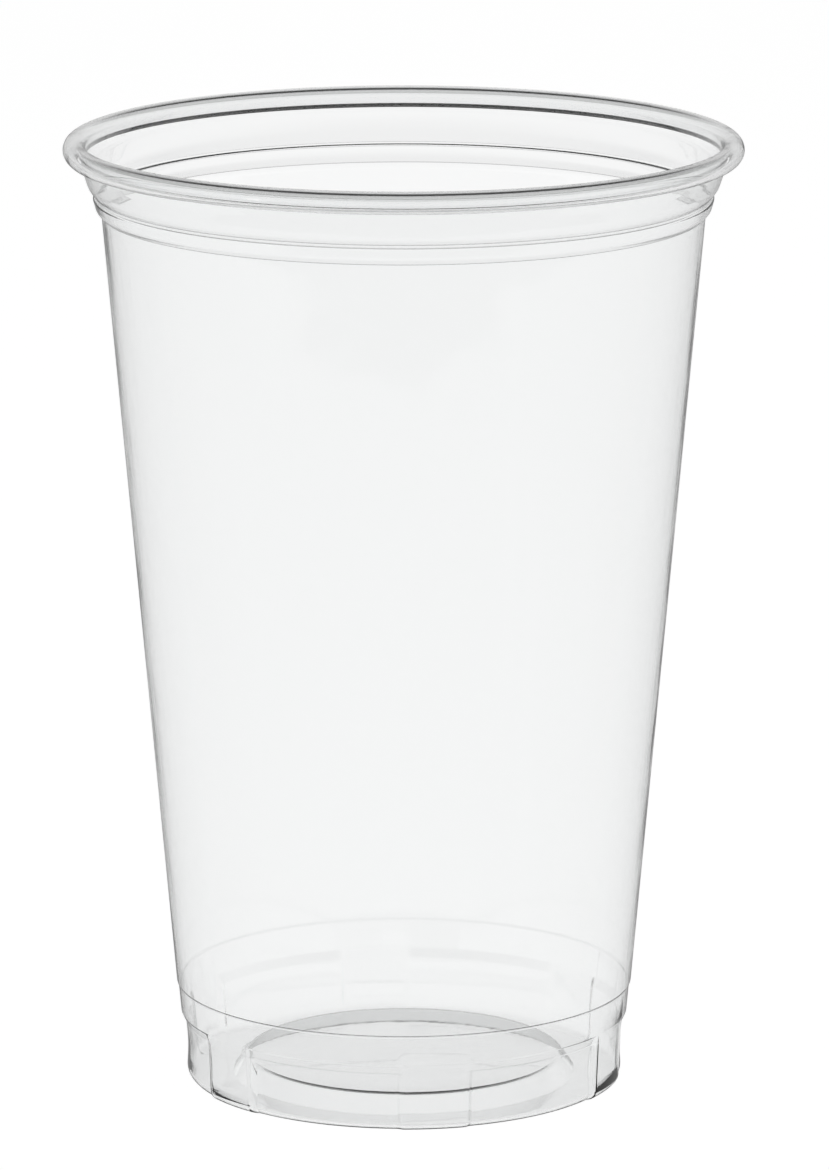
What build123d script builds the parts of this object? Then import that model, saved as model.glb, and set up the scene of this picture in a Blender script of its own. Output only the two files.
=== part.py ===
"""Clear disposable drinking cup, formed from one plastic sheet.

The sheet rises from a raised base panel round a stacking foot, up a plain conical body and a neck
of two rounded stages, and ends in a rim that is curled outwards. Millimetres, +Z up, with the
origin at the middle of the base, on the plane that the cup stands on. The front is towards -Y.
"""

import os
from math import degrees

from build123d import *

# Overall
cup_height = 135.0
rim_radius = 47.5
foot_radius = 31.0

# Sheet, which is thickest where it is stretched least
body_wall = 0.28
base_wall = 0.4
neck_wall = 0.42
rim_wall = 0.55

# Rolled rim: the sheet turns outwards over the top and back under towards the neck
roll_radius = 1.55
roll_turn = 296.0

# Base: a flat ring to stand on, round a raised panel
panel_radius = 22.2
panel_lift = 2.7
panel_slope_run = 2.0
panel_round = 0.7
foot_round = 1.4

# Foot, waisted between its lower corner and the ledge under the band. An overhang is how far
# a place stands out past foot_radius.
waist_height = 4.6
waist_depth = 0.28
waist_round = 20.0
ledge_height = 8.3
ledge_overhang = 0.1
ledge_round = 0.3

# Band between the ledge and the step to the body, which stands out past the foot
band_height = 9.6
band_overhang = 0.75
band_top_height = 13.7
band_top_overhang = 1.12
step_width = 0.22
step_rise = 0.3
step_round = 0.15

# Lugs: stretches of the foot where the wall runs straight down, with no ledge and no waist
lug_count = 6
lug_angle = 18.0
lug_centre_angle = -82.0
lug_overhang = 0.32

# Neck: drops are measured down from the top of the rim, insets in from the outside of the rim
body_top_drop = 11.5
body_top_inset = 5.4
bead_foot_drop = 10.65
bead_foot_inset = 5.35
bead_belly_drop = 9.85
bead_belly_inset = 4.55
bead_top_drop = 8.2
bead_top_inset = 4.1
bead_round = 0.45
bead_belly_round = 1.2
collar_foot_drop = 7.9
collar_foot_inset = 4.5
collar_belly_drop = 6.7
collar_belly_inset = 3.5
collar_belly_round = 3.0
shoulder_drop = 3.8
shoulder_round = 5.0
crease_round = 0.15
least_round = 0.05

roll_core_radius = roll_radius - rim_wall
roll_middle_radius = rim_radius - roll_radius
roll_middle_height = cup_height - roll_radius
roll_start_radius = roll_middle_radius - roll_core_radius
stand_radius = panel_radius + panel_slope_run
band_radius = foot_radius + band_overhang
band_top_radius = foot_radius + band_top_overhang

# The outside of the sheet, from the middle of the base up to the roll. Each corner has its
# radius and height, the rounding of its outside, and the thickness of the sheet there.
base_middle = (0, panel_lift, 0, base_wall)
foot_corners = [
    (panel_radius, panel_lift, panel_round, base_wall),
    (stand_radius, 0, panel_round, base_wall),
    (foot_radius, 0, foot_round, base_wall),
    (foot_radius - waist_depth, waist_height, waist_round, body_wall),
    (foot_radius + ledge_overhang, ledge_height, ledge_round, body_wall),
]
band_corners = [
    (band_radius, band_height, ledge_round, body_wall),
    (band_top_radius, band_top_height, step_round, body_wall),
    (band_top_radius + step_width, band_top_height + step_rise, step_round, body_wall),
]
neck_corners = [
    (rim_radius - body_top_inset, cup_height - body_top_drop, crease_round, body_wall),
    (rim_radius - bead_foot_inset, cup_height - bead_foot_drop, crease_round, body_wall),
    (rim_radius - bead_belly_inset, cup_height - bead_belly_drop, bead_belly_round, neck_wall),
    (rim_radius - bead_top_inset, cup_height - bead_top_drop, bead_round, neck_wall),
    (rim_radius - collar_foot_inset, cup_height - collar_foot_drop, crease_round, neck_wall),
    (rim_radius - collar_belly_inset, cup_height - collar_belly_drop, collar_belly_round, neck_wall),
    (roll_start_radius, cup_height - shoulder_drop, shoulder_round, rim_wall),
]
roll_start = (roll_start_radius, roll_middle_height, 0, rim_wall)
sheet = [base_middle, *foot_corners, *band_corners, *neck_corners, roll_start]

# The outside of the sheet along a lug, from the flat of the base up to the top of the band
lug_root_radius = (stand_radius + foot_radius) / 2
lug = [
    (lug_root_radius, 0, 0, base_wall),
    (foot_radius + lug_overhang, 0, foot_round, base_wall),
    (band_radius, band_height, 0, body_wall),
    (band_top_radius, band_top_height, 0, body_wall),
]


def inside_corners(corners):
    """The inside of the sheet: each corner moved in by the sheet's thickness, square to both its
    sides, with its rounding made smaller or larger to suit the way that the sheet bends there."""
    moved = []
    for index, (radius, height, rounding, wall) in enumerate(corners):
        here = Vector(radius, height)
        before = Vector(*corners[max(index - 1, 0)][:2])
        after = Vector(*corners[min(index + 1, len(corners) - 1)][:2])
        run_in = (here - before).normalized() if index > 0 else (after - here).normalized()
        run_out = (after - here).normalized() if index < len(corners) - 1 else run_in
        square_in = Vector(-run_in.Y, run_in.X)
        square_out = Vector(-run_out.Y, run_out.X)
        moved_here = here + (square_in + square_out) * (wall / (1 + square_in.dot(square_out)))
        bends_inwards = run_in.cross(run_out).Z > 0
        inside_rounding = max(rounding - wall, least_round) if bends_inwards else rounding + wall
        moved.append((moved_here.X, moved_here.Y, inside_rounding if rounding else 0, wall))
    return moved


def rounded_line(corners):
    """The corners joined by straight runs, each corner rounded by its own radius."""
    points = [(radius, height) for radius, height, rounding, wall in corners]
    roundings = [rounding for radius, height, rounding, wall in corners[1:-1]]
    return FilletPolyline(*points, radius=roundings)


def lug_planes(angle):
    """For each lug, the upright plane through the cup's axis where a lug of that width starts."""
    for number in range(lug_count):
        centre = lug_centre_angle + number * 360 / lug_count
        yield Plane.XZ.rotated((0, 0, centre - angle / 2))


with BuildPart() as cup:
    # Everything within the outside of the sheet, and then the lugs
    with BuildSketch(Plane.XZ):
        with BuildLine():
            outside = rounded_line(sheet)
            Polyline(outside @ 1, (0, roll_middle_height), outside @ 0)
        make_face()
    revolve(axis=Axis.Z)
    for plane in lug_planes(lug_angle):
        with BuildSketch(plane):
            with BuildLine():
                lug_outside = rounded_line(lug)
                Polyline(lug_outside @ 1, (lug_root_radius, band_top_height), lug_outside @ 0)
            make_face()
        revolve(axis=Axis.Z, revolution_arc=lug_angle)

    # The room inside the sheet, and inside each lug
    with BuildSketch(Plane.XZ):
        with BuildLine():
            inside = rounded_line(inside_corners(sheet))
            Polyline(inside @ 1, (0, roll_middle_height), inside @ 0)
        make_face()
    revolve(axis=Axis.Z, mode=Mode.SUBTRACT)
    lug_room_angle = lug_angle - 2 * degrees(body_wall / foot_radius)
    for plane in lug_planes(lug_room_angle):
        with BuildSketch(plane):
            with BuildLine():
                lug_inside = rounded_line(inside_corners(lug))
                Polyline(lug_inside @ 1, (lug_root_radius, band_top_height), lug_inside @ 0)
            make_face()
        revolve(axis=Axis.Z, revolution_arc=lug_room_angle, mode=Mode.SUBTRACT)

    # The roll, a curl of the same sheet that ends just short of the neck
    with BuildSketch(Plane.XZ):
        with BuildLine():
            roll_middle = (roll_middle_radius, roll_middle_height)
            roll_outside = CenterArc(roll_middle, roll_radius, 180, -roll_turn)
            roll_inside = CenterArc(roll_middle, roll_core_radius, 180, -roll_turn)
            Line(roll_outside @ 0, roll_inside @ 0)
            Line(roll_outside @ 1, roll_inside @ 1)
        make_face()
    revolve(axis=Axis.Z)

cup.part.label = "cup"

os.makedirs("parts", exist_ok=True)
export_step(cup.part, "parts/cup.step")
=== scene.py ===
"""Clear disposable cup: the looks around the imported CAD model. Metres, +Z up, front towards -Y."""

import math

import bpy
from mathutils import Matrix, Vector


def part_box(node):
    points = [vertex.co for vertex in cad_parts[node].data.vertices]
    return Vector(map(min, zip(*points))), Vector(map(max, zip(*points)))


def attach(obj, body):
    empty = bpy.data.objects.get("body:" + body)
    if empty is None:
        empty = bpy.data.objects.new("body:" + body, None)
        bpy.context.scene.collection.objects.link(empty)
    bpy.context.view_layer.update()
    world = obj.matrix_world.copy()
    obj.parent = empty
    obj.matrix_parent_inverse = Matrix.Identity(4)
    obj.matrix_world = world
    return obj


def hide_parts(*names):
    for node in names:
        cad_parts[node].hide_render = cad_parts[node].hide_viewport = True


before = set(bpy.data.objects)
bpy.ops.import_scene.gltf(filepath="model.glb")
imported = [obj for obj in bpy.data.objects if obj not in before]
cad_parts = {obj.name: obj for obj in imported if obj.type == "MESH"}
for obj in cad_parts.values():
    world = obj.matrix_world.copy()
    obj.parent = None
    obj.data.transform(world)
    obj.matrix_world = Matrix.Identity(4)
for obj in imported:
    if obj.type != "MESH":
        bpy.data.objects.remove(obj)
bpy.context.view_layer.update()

MM = 0.001

# The cup's height and rim come from the CAD node. The other sizes repeat the CAD's, in millimetres.
low_corner, high_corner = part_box("cup")
CUP_HEIGHT = high_corner.z / MM
RIM_RADIUS = min(high_corner.x, high_corner.y, -low_corner.x, -low_corner.y) / MM
FOOT_RADIUS = 31.0

# Sheet thickness
BODY_WALL = 0.28
BASE_WALL = 0.4
NECK_WALL = 0.42
RIM_WALL = 0.55

# Rolled rim
ROLL_RADIUS = 1.55
ROLL_TURN = 296.0

# Base: a flat ring to stand on, round a raised panel
PANEL_RADIUS = 22.2
PANEL_LIFT = 2.7
PANEL_SLOPE_RUN = 2.0
PANEL_ROUND = 0.7
STAND_RADIUS = PANEL_RADIUS + PANEL_SLOPE_RUN
FOOT_ROUND = 1.4

# Foot, waisted between its lower corner and the ledge under the band. An overhang is how far a
# place stands out past FOOT_RADIUS.
WAIST_HEIGHT = 4.6
WAIST_DEPTH = 0.28
WAIST_ROUND = 20.0
LEDGE_HEIGHT = 8.3
LEDGE_OVERHANG = 0.1
LEDGE_ROUND = 0.3

# Band between the ledge and the step to the body
BAND_HEIGHT = 9.6
BAND_OVERHANG = 0.75
BAND_RADIUS = FOOT_RADIUS + BAND_OVERHANG
BAND_TOP_HEIGHT = 13.7
BAND_TOP_OVERHANG = 1.12
BAND_TOP_RADIUS = FOOT_RADIUS + BAND_TOP_OVERHANG
STEP_WIDTH = 0.22
STEP_RISE = 0.3
STEP_ROUND = 0.15

# Lugs of the foot: angles in degrees. LUG_EDGE is the width of the ramp at each side of a lug.
LUG_COUNT = 6
LUG_ANGLE = 18.0
LUG_CENTRE = -82.0
LUG_EDGE = 2.2
LUG_EDGE_PARTS = 3
LUG_OVERHANG = 0.32
LUG_FOOT_RADIUS = FOOT_RADIUS + LUG_OVERHANG
LUG_CORNER_EXTRA = 0.1
LUG_TOP = 12.0

# Neck: drops are measured down from the top of the rim, insets in from the outside of the rim
BODY_TOP_DROP = 11.5
BODY_TOP_INSET = 5.4
BEAD_FOOT_DROP = 10.65
BEAD_FOOT_INSET = 5.35
BEAD_BELLY_DROP = 9.85
BEAD_BELLY_INSET = 4.55
BEAD_BELLY_ROUND = 1.2
BEAD_TOP_DROP = 8.2
BEAD_TOP_INSET = 4.1
BEAD_ROUND = 0.45
COLLAR_FOOT_DROP = 7.9
COLLAR_FOOT_INSET = 4.5
COLLAR_BELLY_DROP = 6.7
COLLAR_BELLY_INSET = 3.5
COLLAR_BELLY_ROUND = 3.0
SHOULDER_DROP = 3.8
SHOULDER_ROUND = 5.0
CREASE_ROUND = 0.15
LEAST_ROUND = 0.08

# Mesh fineness: steps in degrees, and the longest straight run of the profile
ARC_STEP = 14.0
ROLL_STEP = 8.0
ANGLE_STEP = 1.2
LEAST_ANGLE_GAP = 0.05
ANGLE_DIGITS = 4
LONGEST_RUN = 7.0

roll_core = ROLL_RADIUS - RIM_WALL
roll_middle = (RIM_RADIUS - ROLL_RADIUS, CUP_HEIGHT - ROLL_RADIUS)
roll_start = (roll_middle[0] - roll_core, roll_middle[1], 0, RIM_WALL)


def neck_corner(inset, drop, rounding, wall):
    """A corner of the profile, placed from the outside and the top of the rim."""
    return (RIM_RADIUS - inset, CUP_HEIGHT - drop, rounding, wall)


# Outside of the sheet from the middle of the base to the roll: radius, height, rounding, wall
SHEET = [
    (0, PANEL_LIFT, 0, BASE_WALL),
    (PANEL_RADIUS, PANEL_LIFT, PANEL_ROUND, BASE_WALL),
    (STAND_RADIUS, 0, PANEL_ROUND, BASE_WALL),
    (FOOT_RADIUS, 0, FOOT_ROUND, BASE_WALL),
    (FOOT_RADIUS - WAIST_DEPTH, WAIST_HEIGHT, WAIST_ROUND, BODY_WALL),
    (FOOT_RADIUS + LEDGE_OVERHANG, LEDGE_HEIGHT, LEDGE_ROUND, BODY_WALL),
    (BAND_RADIUS, BAND_HEIGHT, LEDGE_ROUND, BODY_WALL),
    (BAND_TOP_RADIUS, BAND_TOP_HEIGHT, STEP_ROUND, BODY_WALL),
    (BAND_TOP_RADIUS + STEP_WIDTH, BAND_TOP_HEIGHT + STEP_RISE, STEP_ROUND, BODY_WALL),
    neck_corner(BODY_TOP_INSET, BODY_TOP_DROP, CREASE_ROUND, BODY_WALL),
    neck_corner(BEAD_FOOT_INSET, BEAD_FOOT_DROP, CREASE_ROUND, BODY_WALL),
    neck_corner(BEAD_BELLY_INSET, BEAD_BELLY_DROP, BEAD_BELLY_ROUND, NECK_WALL),
    neck_corner(BEAD_TOP_INSET, BEAD_TOP_DROP, BEAD_ROUND, NECK_WALL),
    neck_corner(COLLAR_FOOT_INSET, COLLAR_FOOT_DROP, CREASE_ROUND, NECK_WALL),
    neck_corner(COLLAR_BELLY_INSET, COLLAR_BELLY_DROP, COLLAR_BELLY_ROUND, NECK_WALL),
    (roll_start[0], CUP_HEIGHT - SHOULDER_DROP, SHOULDER_ROUND, RIM_WALL),
    roll_start,
]


def inside_corners(corners):
    """The inside of the sheet: each corner moved in by the sheet's thickness."""
    moved = []
    last = len(corners) - 1
    for index, (radius, height, rounding, wall) in enumerate(corners):
        here = Vector((radius, height))
        before = Vector(corners[max(index - 1, 0)][:2])
        after = Vector(corners[min(index + 1, last)][:2])
        run_in = (here - before).normalized() if index > 0 else (after - here).normalized()
        run_out = (after - here).normalized() if index < last else run_in
        square_in = Vector((-run_in.y, run_in.x))
        square_out = Vector((-run_out.y, run_out.x))
        here = here + (square_in + square_out) * (wall / (1 + square_in.dot(square_out)))
        bends_inwards = run_in.x * run_out.y - run_in.y * run_out.x > 0
        inside = max(rounding - wall, LEAST_ROUND) if bends_inwards else rounding + wall
        moved.append((here.x, here.y, inside if rounding else 0, wall))
    return moved


def rounded_line(corners):
    """Points along the corners' straight runs, with each corner rounded by an arc."""
    points = [Vector(corners[0][:2])]
    for before, corner, after in zip(corners, corners[1:], corners[2:]):
        here = Vector(corner[:2])
        run_in = (here - Vector(before[:2])).normalized()
        run_out = (Vector(after[:2]) - here).normalized()
        turn = math.atan2(run_in.x * run_out.y - run_in.y * run_out.x, run_in.dot(run_out))
        cut = corner[2] * math.tan(abs(turn) / 2)
        steps = max(2, math.ceil(math.degrees(abs(turn)) / ARC_STEP))
        start = here - run_in * cut
        side = math.copysign(1, turn)
        middle = start + Vector((-run_in.y, run_in.x)) * corner[2] * side
        for step in range(steps + 1):
            swing = turn * step / steps
            arm = start - middle
            cos_swing = math.cos(swing)
            sin_swing = math.sin(swing)
            turned = Vector((arm.x * cos_swing - arm.y * sin_swing,
                             arm.x * sin_swing + arm.y * cos_swing))
            points.append(middle + turned)
    points.append(Vector(corners[-1][:2]))
    return points


def split_long_runs(points, longest):
    """The same line with extra points, so that no run is longer than the given length."""
    split = [points[0]]
    for start, end in zip(points, points[1:]):
        parts = max(1, math.ceil((end - start).length / longest))
        split += [start.lerp(end, part / parts) for part in range(1, parts + 1)]
    return split


def roll_arc(radius):
    """The roll's arc, from its start at the mouth over the top and back under."""
    steps = math.ceil(ROLL_TURN / ROLL_STEP)
    arc = []
    for step in range(steps + 1):
        angle = math.radians(180 - ROLL_TURN * step / steps)
        arc.append(Vector((roll_middle[0] + radius * math.cos(angle),
                           roll_middle[1] + radius * math.sin(angle))))
    return arc


def lug_push(point, wall):
    """How far the lug's wall lies outside the plain foot's wall at a point of the foot's profile."""
    height = max(point.y, FOOT_ROUND)
    lug_face = LUG_FOOT_RADIUS + (BAND_RADIUS - LUG_FOOT_RADIUS) * height / BAND_HEIGHT - wall
    if point.y >= FOOT_ROUND:
        return max(0.0, lug_face - point.x)
    root = (STAND_RADIUS + FOOT_RADIUS) / 2
    corner_start = FOOT_RADIUS - FOOT_ROUND
    share = (point.x - root) / (corner_start - root)
    return (LUG_OVERHANG + LUG_CORNER_EXTRA) * min(1.0, max(0.0, share))


def lug_share(angle):
    """1 on a lug, 0 between lugs, and a short smooth ramp at each edge."""
    pitch = 360 / LUG_COUNT
    from_centre = abs((angle - LUG_CENTRE + pitch / 2) % pitch - pitch / 2)
    ramp = (LUG_ANGLE / 2 + LUG_EDGE / 2 - from_centre) / LUG_EDGE
    ramp = min(1.0, max(0.0, ramp))
    return ramp * ramp * (3 - 2 * ramp)


def angles_round():
    """Angles of the mesh's columns, closer together at the edges of the lugs."""
    angles = {round(step * ANGLE_STEP, ANGLE_DIGITS) for step in range(round(360 / ANGLE_STEP))}
    pitch = 360 / LUG_COUNT
    for lug in range(LUG_COUNT):
        for side in (-1, 1):
            edge = LUG_CENTRE + lug * pitch + side * LUG_ANGLE / 2
            for part in range(-LUG_EDGE_PARTS, LUG_EDGE_PARTS + 1):
                angle = (edge + part * LUG_EDGE / (2 * LUG_EDGE_PARTS)) % 360
                angles.add(round(angle, ANGLE_DIGITS))
    kept = []
    for angle in sorted(angles):
        if not kept or angle - kept[-1] > LEAST_ANGLE_GAP:
            kept.append(angle)
    return kept


def cup_mesh():
    """The whole sheet as one closed mesh: outside, roll, and back down the inside."""
    outside = split_long_runs(rounded_line(SHEET), LONGEST_RUN)
    inside = split_long_runs(rounded_line(inside_corners(SHEET)), LONGEST_RUN)
    outer_roll = roll_arc(ROLL_RADIUS)
    core = roll_arc(roll_core)
    line = [(p, 0.0) for p in outside] + [(p, 0.0) for p in core[1:]]
    line += [(p, 0.0) for p in reversed(outer_roll)]
    inside_walls = [(p, BODY_WALL) for p in reversed(inside[:-1])]
    line += inside_walls

    angles = angles_round()
    vertices = []
    for angle in angles:
        share = lug_share(angle)
        cos_a = math.cos(math.radians(angle))
        sin_a = math.sin(math.radians(angle))
        for point, wall in line[1:-1]:
            in_foot = point.y < LUG_TOP and point.x > STAND_RADIUS
            push = lug_push(point, wall) * share if in_foot else 0.0
            radius = point.x + push
            vertices.append((radius * cos_a * MM, radius * sin_a * MM, point.y * MM))
    rows = len(line) - 2
    columns = len(angles)
    under = len(vertices)
    vertices.append((0, 0, line[0][0].y * MM))
    floor = len(vertices)
    vertices.append((0, 0, line[-1][0].y * MM))
    faces = []
    for column in range(columns):
        here = column * rows
        beside = (column + 1) % columns * rows
        faces.append((under, beside, here))
        for row in range(rows - 1):
            faces.append((here + row, beside + row, beside + row + 1, here + row + 1))
        faces.append((here + rows - 1, beside + rows - 1, floor))
    mesh = bpy.data.meshes.new("cup_sheet")
    mesh.from_pydata(vertices, [], faces)
    mesh.validate()
    mesh.shade_smooth()
    return mesh


def new_material(name):
    """An empty node material, with its node tree and output node."""
    material = bpy.data.materials.new(name)
    material.use_nodes = True
    tree = material.node_tree
    tree.nodes.clear()
    output = tree.nodes.new("ShaderNodeOutputMaterial")
    return material, tree, output


def clear_plastic():
    """Clear PET: refracting, glossy, with faint draw marks that run up the sheet."""
    material, tree, output = new_material("clear_pet")
    nodes, links = tree.nodes, tree.links
    shader = nodes.new("ShaderNodeBsdfPrincipled")
    shader.inputs["Base Color"].default_value = (0.985, 0.99, 0.99, 1)
    shader.inputs["Transmission Weight"].default_value = 1.0
    shader.inputs["IOR"].default_value = 1.575

    place = nodes.new("ShaderNodeTexCoord")
    stretch = nodes.new("ShaderNodeMapping")
    stretch.inputs["Scale"].default_value = (1, 1, 0.06)
    links.new(place.outputs["Object"], stretch.inputs["Vector"])
    marks = nodes.new("ShaderNodeTexNoise")
    marks.inputs["Scale"].default_value = 160
    marks.inputs["Detail"].default_value = 3
    links.new(stretch.outputs["Vector"], marks.inputs["Vector"])
    waves = nodes.new("ShaderNodeTexNoise")
    waves.inputs["Scale"].default_value = 45
    waves.inputs["Detail"].default_value = 2
    links.new(place.outputs["Object"], waves.inputs["Vector"])

    fine = nodes.new("ShaderNodeBump")
    fine.inputs["Strength"].default_value = 0.05
    fine.inputs["Distance"].default_value = 0.0004
    links.new(marks.outputs["Fac"], fine.inputs["Height"])
    broad = nodes.new("ShaderNodeBump")
    broad.inputs["Strength"].default_value = 0.05
    broad.inputs["Distance"].default_value = 0.0015
    links.new(waves.outputs["Fac"], broad.inputs["Height"])
    links.new(fine.outputs["Normal"], broad.inputs["Normal"])
    links.new(broad.outputs["Normal"], shader.inputs["Normal"])

    haze = nodes.new("ShaderNodeMapRange")
    haze.inputs["To Min"].default_value = 0.0
    haze.inputs["To Max"].default_value = 0.05
    links.new(marks.outputs["Fac"], haze.inputs["Value"])
    links.new(haze.outputs["Result"], shader.inputs["Roughness"])

    see_through = nodes.new("ShaderNodeBsdfTransparent")
    see_through.inputs["Color"].default_value = (0.94, 0.945, 0.945, 1)
    light_path = nodes.new("ShaderNodeLightPath")
    mix = nodes.new("ShaderNodeMixShader")
    links.new(light_path.outputs["Is Shadow Ray"], mix.inputs["Fac"])
    links.new(shader.outputs["BSDF"], mix.inputs[1])
    links.new(see_through.outputs["BSDF"], mix.inputs[2])
    links.new(mix.outputs["Shader"], output.inputs["Surface"])

    body = nodes.new("ShaderNodeVolumeAbsorption")
    body.inputs["Color"].default_value = (0.0, 0.0, 0.0, 1)
    body.inputs["Density"].default_value = ABSORPTION
    links.new(body.outputs["Volume"], output.inputs["Volume"])
    return material


def seen_background(nodes, links):
    """1 for a ray that sees the plain background directly or through the plastic, and less for a
    reflected one."""
    light_path = nodes.new("ShaderNodeLightPath")
    direct = nodes.new("ShaderNodeMath")
    direct.operation = "MAXIMUM"
    links.new(light_path.outputs["Is Camera Ray"], direct.inputs[0])
    links.new(light_path.outputs["Is Transmission Ray"], direct.inputs[1])
    reflected = nodes.new("ShaderNodeMath")
    reflected.operation = "MULTIPLY"
    reflected.inputs[1].default_value = REFLECTED_SHARE
    links.new(light_path.outputs["Is Glossy Ray"], reflected.inputs[0])
    seen = nodes.new("ShaderNodeMath")
    seen.operation = "MAXIMUM"
    links.new(direct.outputs["Value"], seen.inputs[0])
    links.new(reflected.outputs["Value"], seen.inputs[1])
    return seen.outputs["Value"]


def white_floor():
    """A pale floor that keeps a soft shadow and reads as white to the camera and the plastic."""
    material, tree, output = new_material("studio_floor")
    nodes, links = tree.nodes, tree.links
    matt = nodes.new("ShaderNodeBsdfDiffuse")
    matt.inputs["Color"].default_value = (0.3, 0.3, 0.3, 1)
    glow = nodes.new("ShaderNodeEmission")
    glow.inputs["Color"].default_value = (1, 1, 1, 1)
    strength = nodes.new("ShaderNodeMath")
    strength.operation = "MULTIPLY"
    strength.inputs[1].default_value = FLOOR_GLOW
    links.new(seen_background(nodes, links), strength.inputs[0])
    links.new(strength.outputs["Value"], glow.inputs["Strength"])
    both = nodes.new("ShaderNodeAddShader")
    links.new(matt.outputs["BSDF"], both.inputs[0])
    links.new(glow.outputs["Emission"], both.inputs[1])
    links.new(both.outputs["Shader"], output.inputs["Surface"])
    bpy.ops.mesh.primitive_circle_add(vertices=96, radius=FLOOR_RADIUS, fill_type="NGON",
                                      location=(0, 0, -FLOOR_GAP))
    floor = bpy.context.object
    floor.name = "studio_floor"
    floor.data.materials.append(material)


def studio_world():
    """Pale round the horizon and dim overhead, and plain white to the camera."""
    world = bpy.data.worlds.new("studio")
    bpy.context.scene.world = world
    world.use_nodes = True
    tree = world.node_tree
    tree.nodes.clear()
    nodes, links = tree.nodes, tree.links
    output = nodes.new("ShaderNodeOutputWorld")
    place = nodes.new("ShaderNodeTexCoord")
    split = nodes.new("ShaderNodeSeparateXYZ")
    links.new(place.outputs["Generated"], split.inputs["Vector"])
    ramp = nodes.new("ShaderNodeValToRGB")
    links.new(split.outputs["Z"], ramp.inputs["Fac"])
    stops = ramp.color_ramp.elements
    stops[0].position = WALL_TOP[0]
    stops[0].color = (WALL, WALL, WALL, 1)
    stops[1].position = WALL_TOP[1]
    stops[1].color = (CEILING, CEILING, CEILING, 1)
    room = nodes.new("ShaderNodeBackground")
    links.new(ramp.outputs["Color"], room.inputs["Color"])
    plain = nodes.new("ShaderNodeBackground")
    plain.inputs["Color"].default_value = (1, 1, 1, 1)
    light_path = nodes.new("ShaderNodeLightPath")
    mix = nodes.new("ShaderNodeMixShader")
    links.new(light_path.outputs["Is Camera Ray"], mix.inputs["Fac"])
    links.new(room.outputs["Background"], mix.inputs[1])
    links.new(plain.outputs["Background"], mix.inputs[2])
    links.new(mix.outputs["Shader"], output.inputs["Surface"])


def light_card(name, corners):
    """A bright card that only the plastic's reflections show. Corners are azimuth in degrees from
    the front towards +X, distance from the cup's axis, and height."""
    material, tree, output = new_material(name)
    glow = tree.nodes.new("ShaderNodeEmission")
    glow.inputs["Strength"].default_value = CARD_GLOW
    tree.links.new(glow.outputs["Emission"], output.inputs["Surface"])
    points = []
    for azimuth, distance, height in corners:
        turn = math.radians(azimuth)
        points.append((distance * math.sin(turn), -distance * math.cos(turn), height))
    mesh = bpy.data.meshes.new(name)
    mesh.from_pydata(points, [], [tuple(range(len(points)))])
    card = bpy.data.objects.new(name, mesh)
    card.data.materials.append(material)
    card.visible_camera = False
    card.visible_diffuse = False
    card.visible_shadow = False
    card.visible_transmission = False
    bpy.context.scene.collection.objects.link(card)


def soft_lamp(name, place, target, size, power):
    """A large soft lamp that faces a point and lights only matt surfaces."""
    data = bpy.data.lights.new(name, "AREA")
    data.size = size
    data.energy = power
    lamp = bpy.data.objects.new(name, data)
    lamp.location = place
    lamp.rotation_mode = "QUATERNION"
    lamp.rotation_quaternion = (Vector(target) - Vector(place)).to_track_quat("-Z", "Y")
    lamp.visible_glossy = False
    lamp.visible_transmission = False
    bpy.context.scene.collection.objects.link(lamp)


# Studio: metres, brightness and absorption per metre
FLOOR_RADIUS = 6.0
FLOOR_GAP = 0.0002
FLOOR_GLOW = 0.93
REFLECTED_SHARE = 0.3
WALL_TOP = (0.30, 0.55)
WALL = 0.7
CEILING = 0.04
ABSORPTION = 70.0

# Soft lamp, and the cards as azimuth, distance and height of each corner
LAMP_PLACE = (0.3, -0.2, 1.4)
LAMP_SIZE = 1.2
LAMP_POWER = 3
CARD_GLOW = 3.0
WINDOW_CARD = [(52, 1.0, 0.094), (71, 1.0, 0.094), (56, 1.0, 0.027)]
STRIP_CARD = [(-52, 0.5, 0.114), (-46, 0.5, 0.114), (-47.5, 0.5, 0.01), (-52, 0.5, 0.01)]

# Camera: metres, degrees and millimetres
CAMERA_DISTANCE = 1.096
CAMERA_HEIGHT = 0.3136
CAMERA_PITCH = 12.48
CAMERA_TURN = 0.079
CAMERA_LENS = 244.9
CAMERA_SENSOR = 36
CAMERA_NEAR = 0.01

cup = bpy.data.objects.new("cup_sheet", cup_mesh())
bpy.context.scene.collection.objects.link(cup)
cup.data.materials.append(clear_plastic())
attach(cup, "root")
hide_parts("cup")

white_floor()
studio_world()
middle = (0, 0, CUP_HEIGHT * MM / 2)
soft_lamp("soft_top", LAMP_PLACE, middle, LAMP_SIZE, LAMP_POWER)
light_card("window_card", WINDOW_CARD)
light_card("strip_card", STRIP_CARD)

camera_data = bpy.data.cameras.new("camera")
camera_data.lens = CAMERA_LENS
camera_data.sensor_width = CAMERA_SENSOR
camera_data.clip_start = CAMERA_NEAR
camera = bpy.data.objects.new("camera", camera_data)
camera.location = (0, -CAMERA_DISTANCE, CAMERA_HEIGHT)
camera.rotation_euler = (math.radians(90 - CAMERA_PITCH), 0, -math.radians(CAMERA_TURN))
bpy.context.scene.collection.objects.link(camera)
bpy.context.scene.camera = camera

bpy.context.scene.view_settings.view_transform = "Standard"
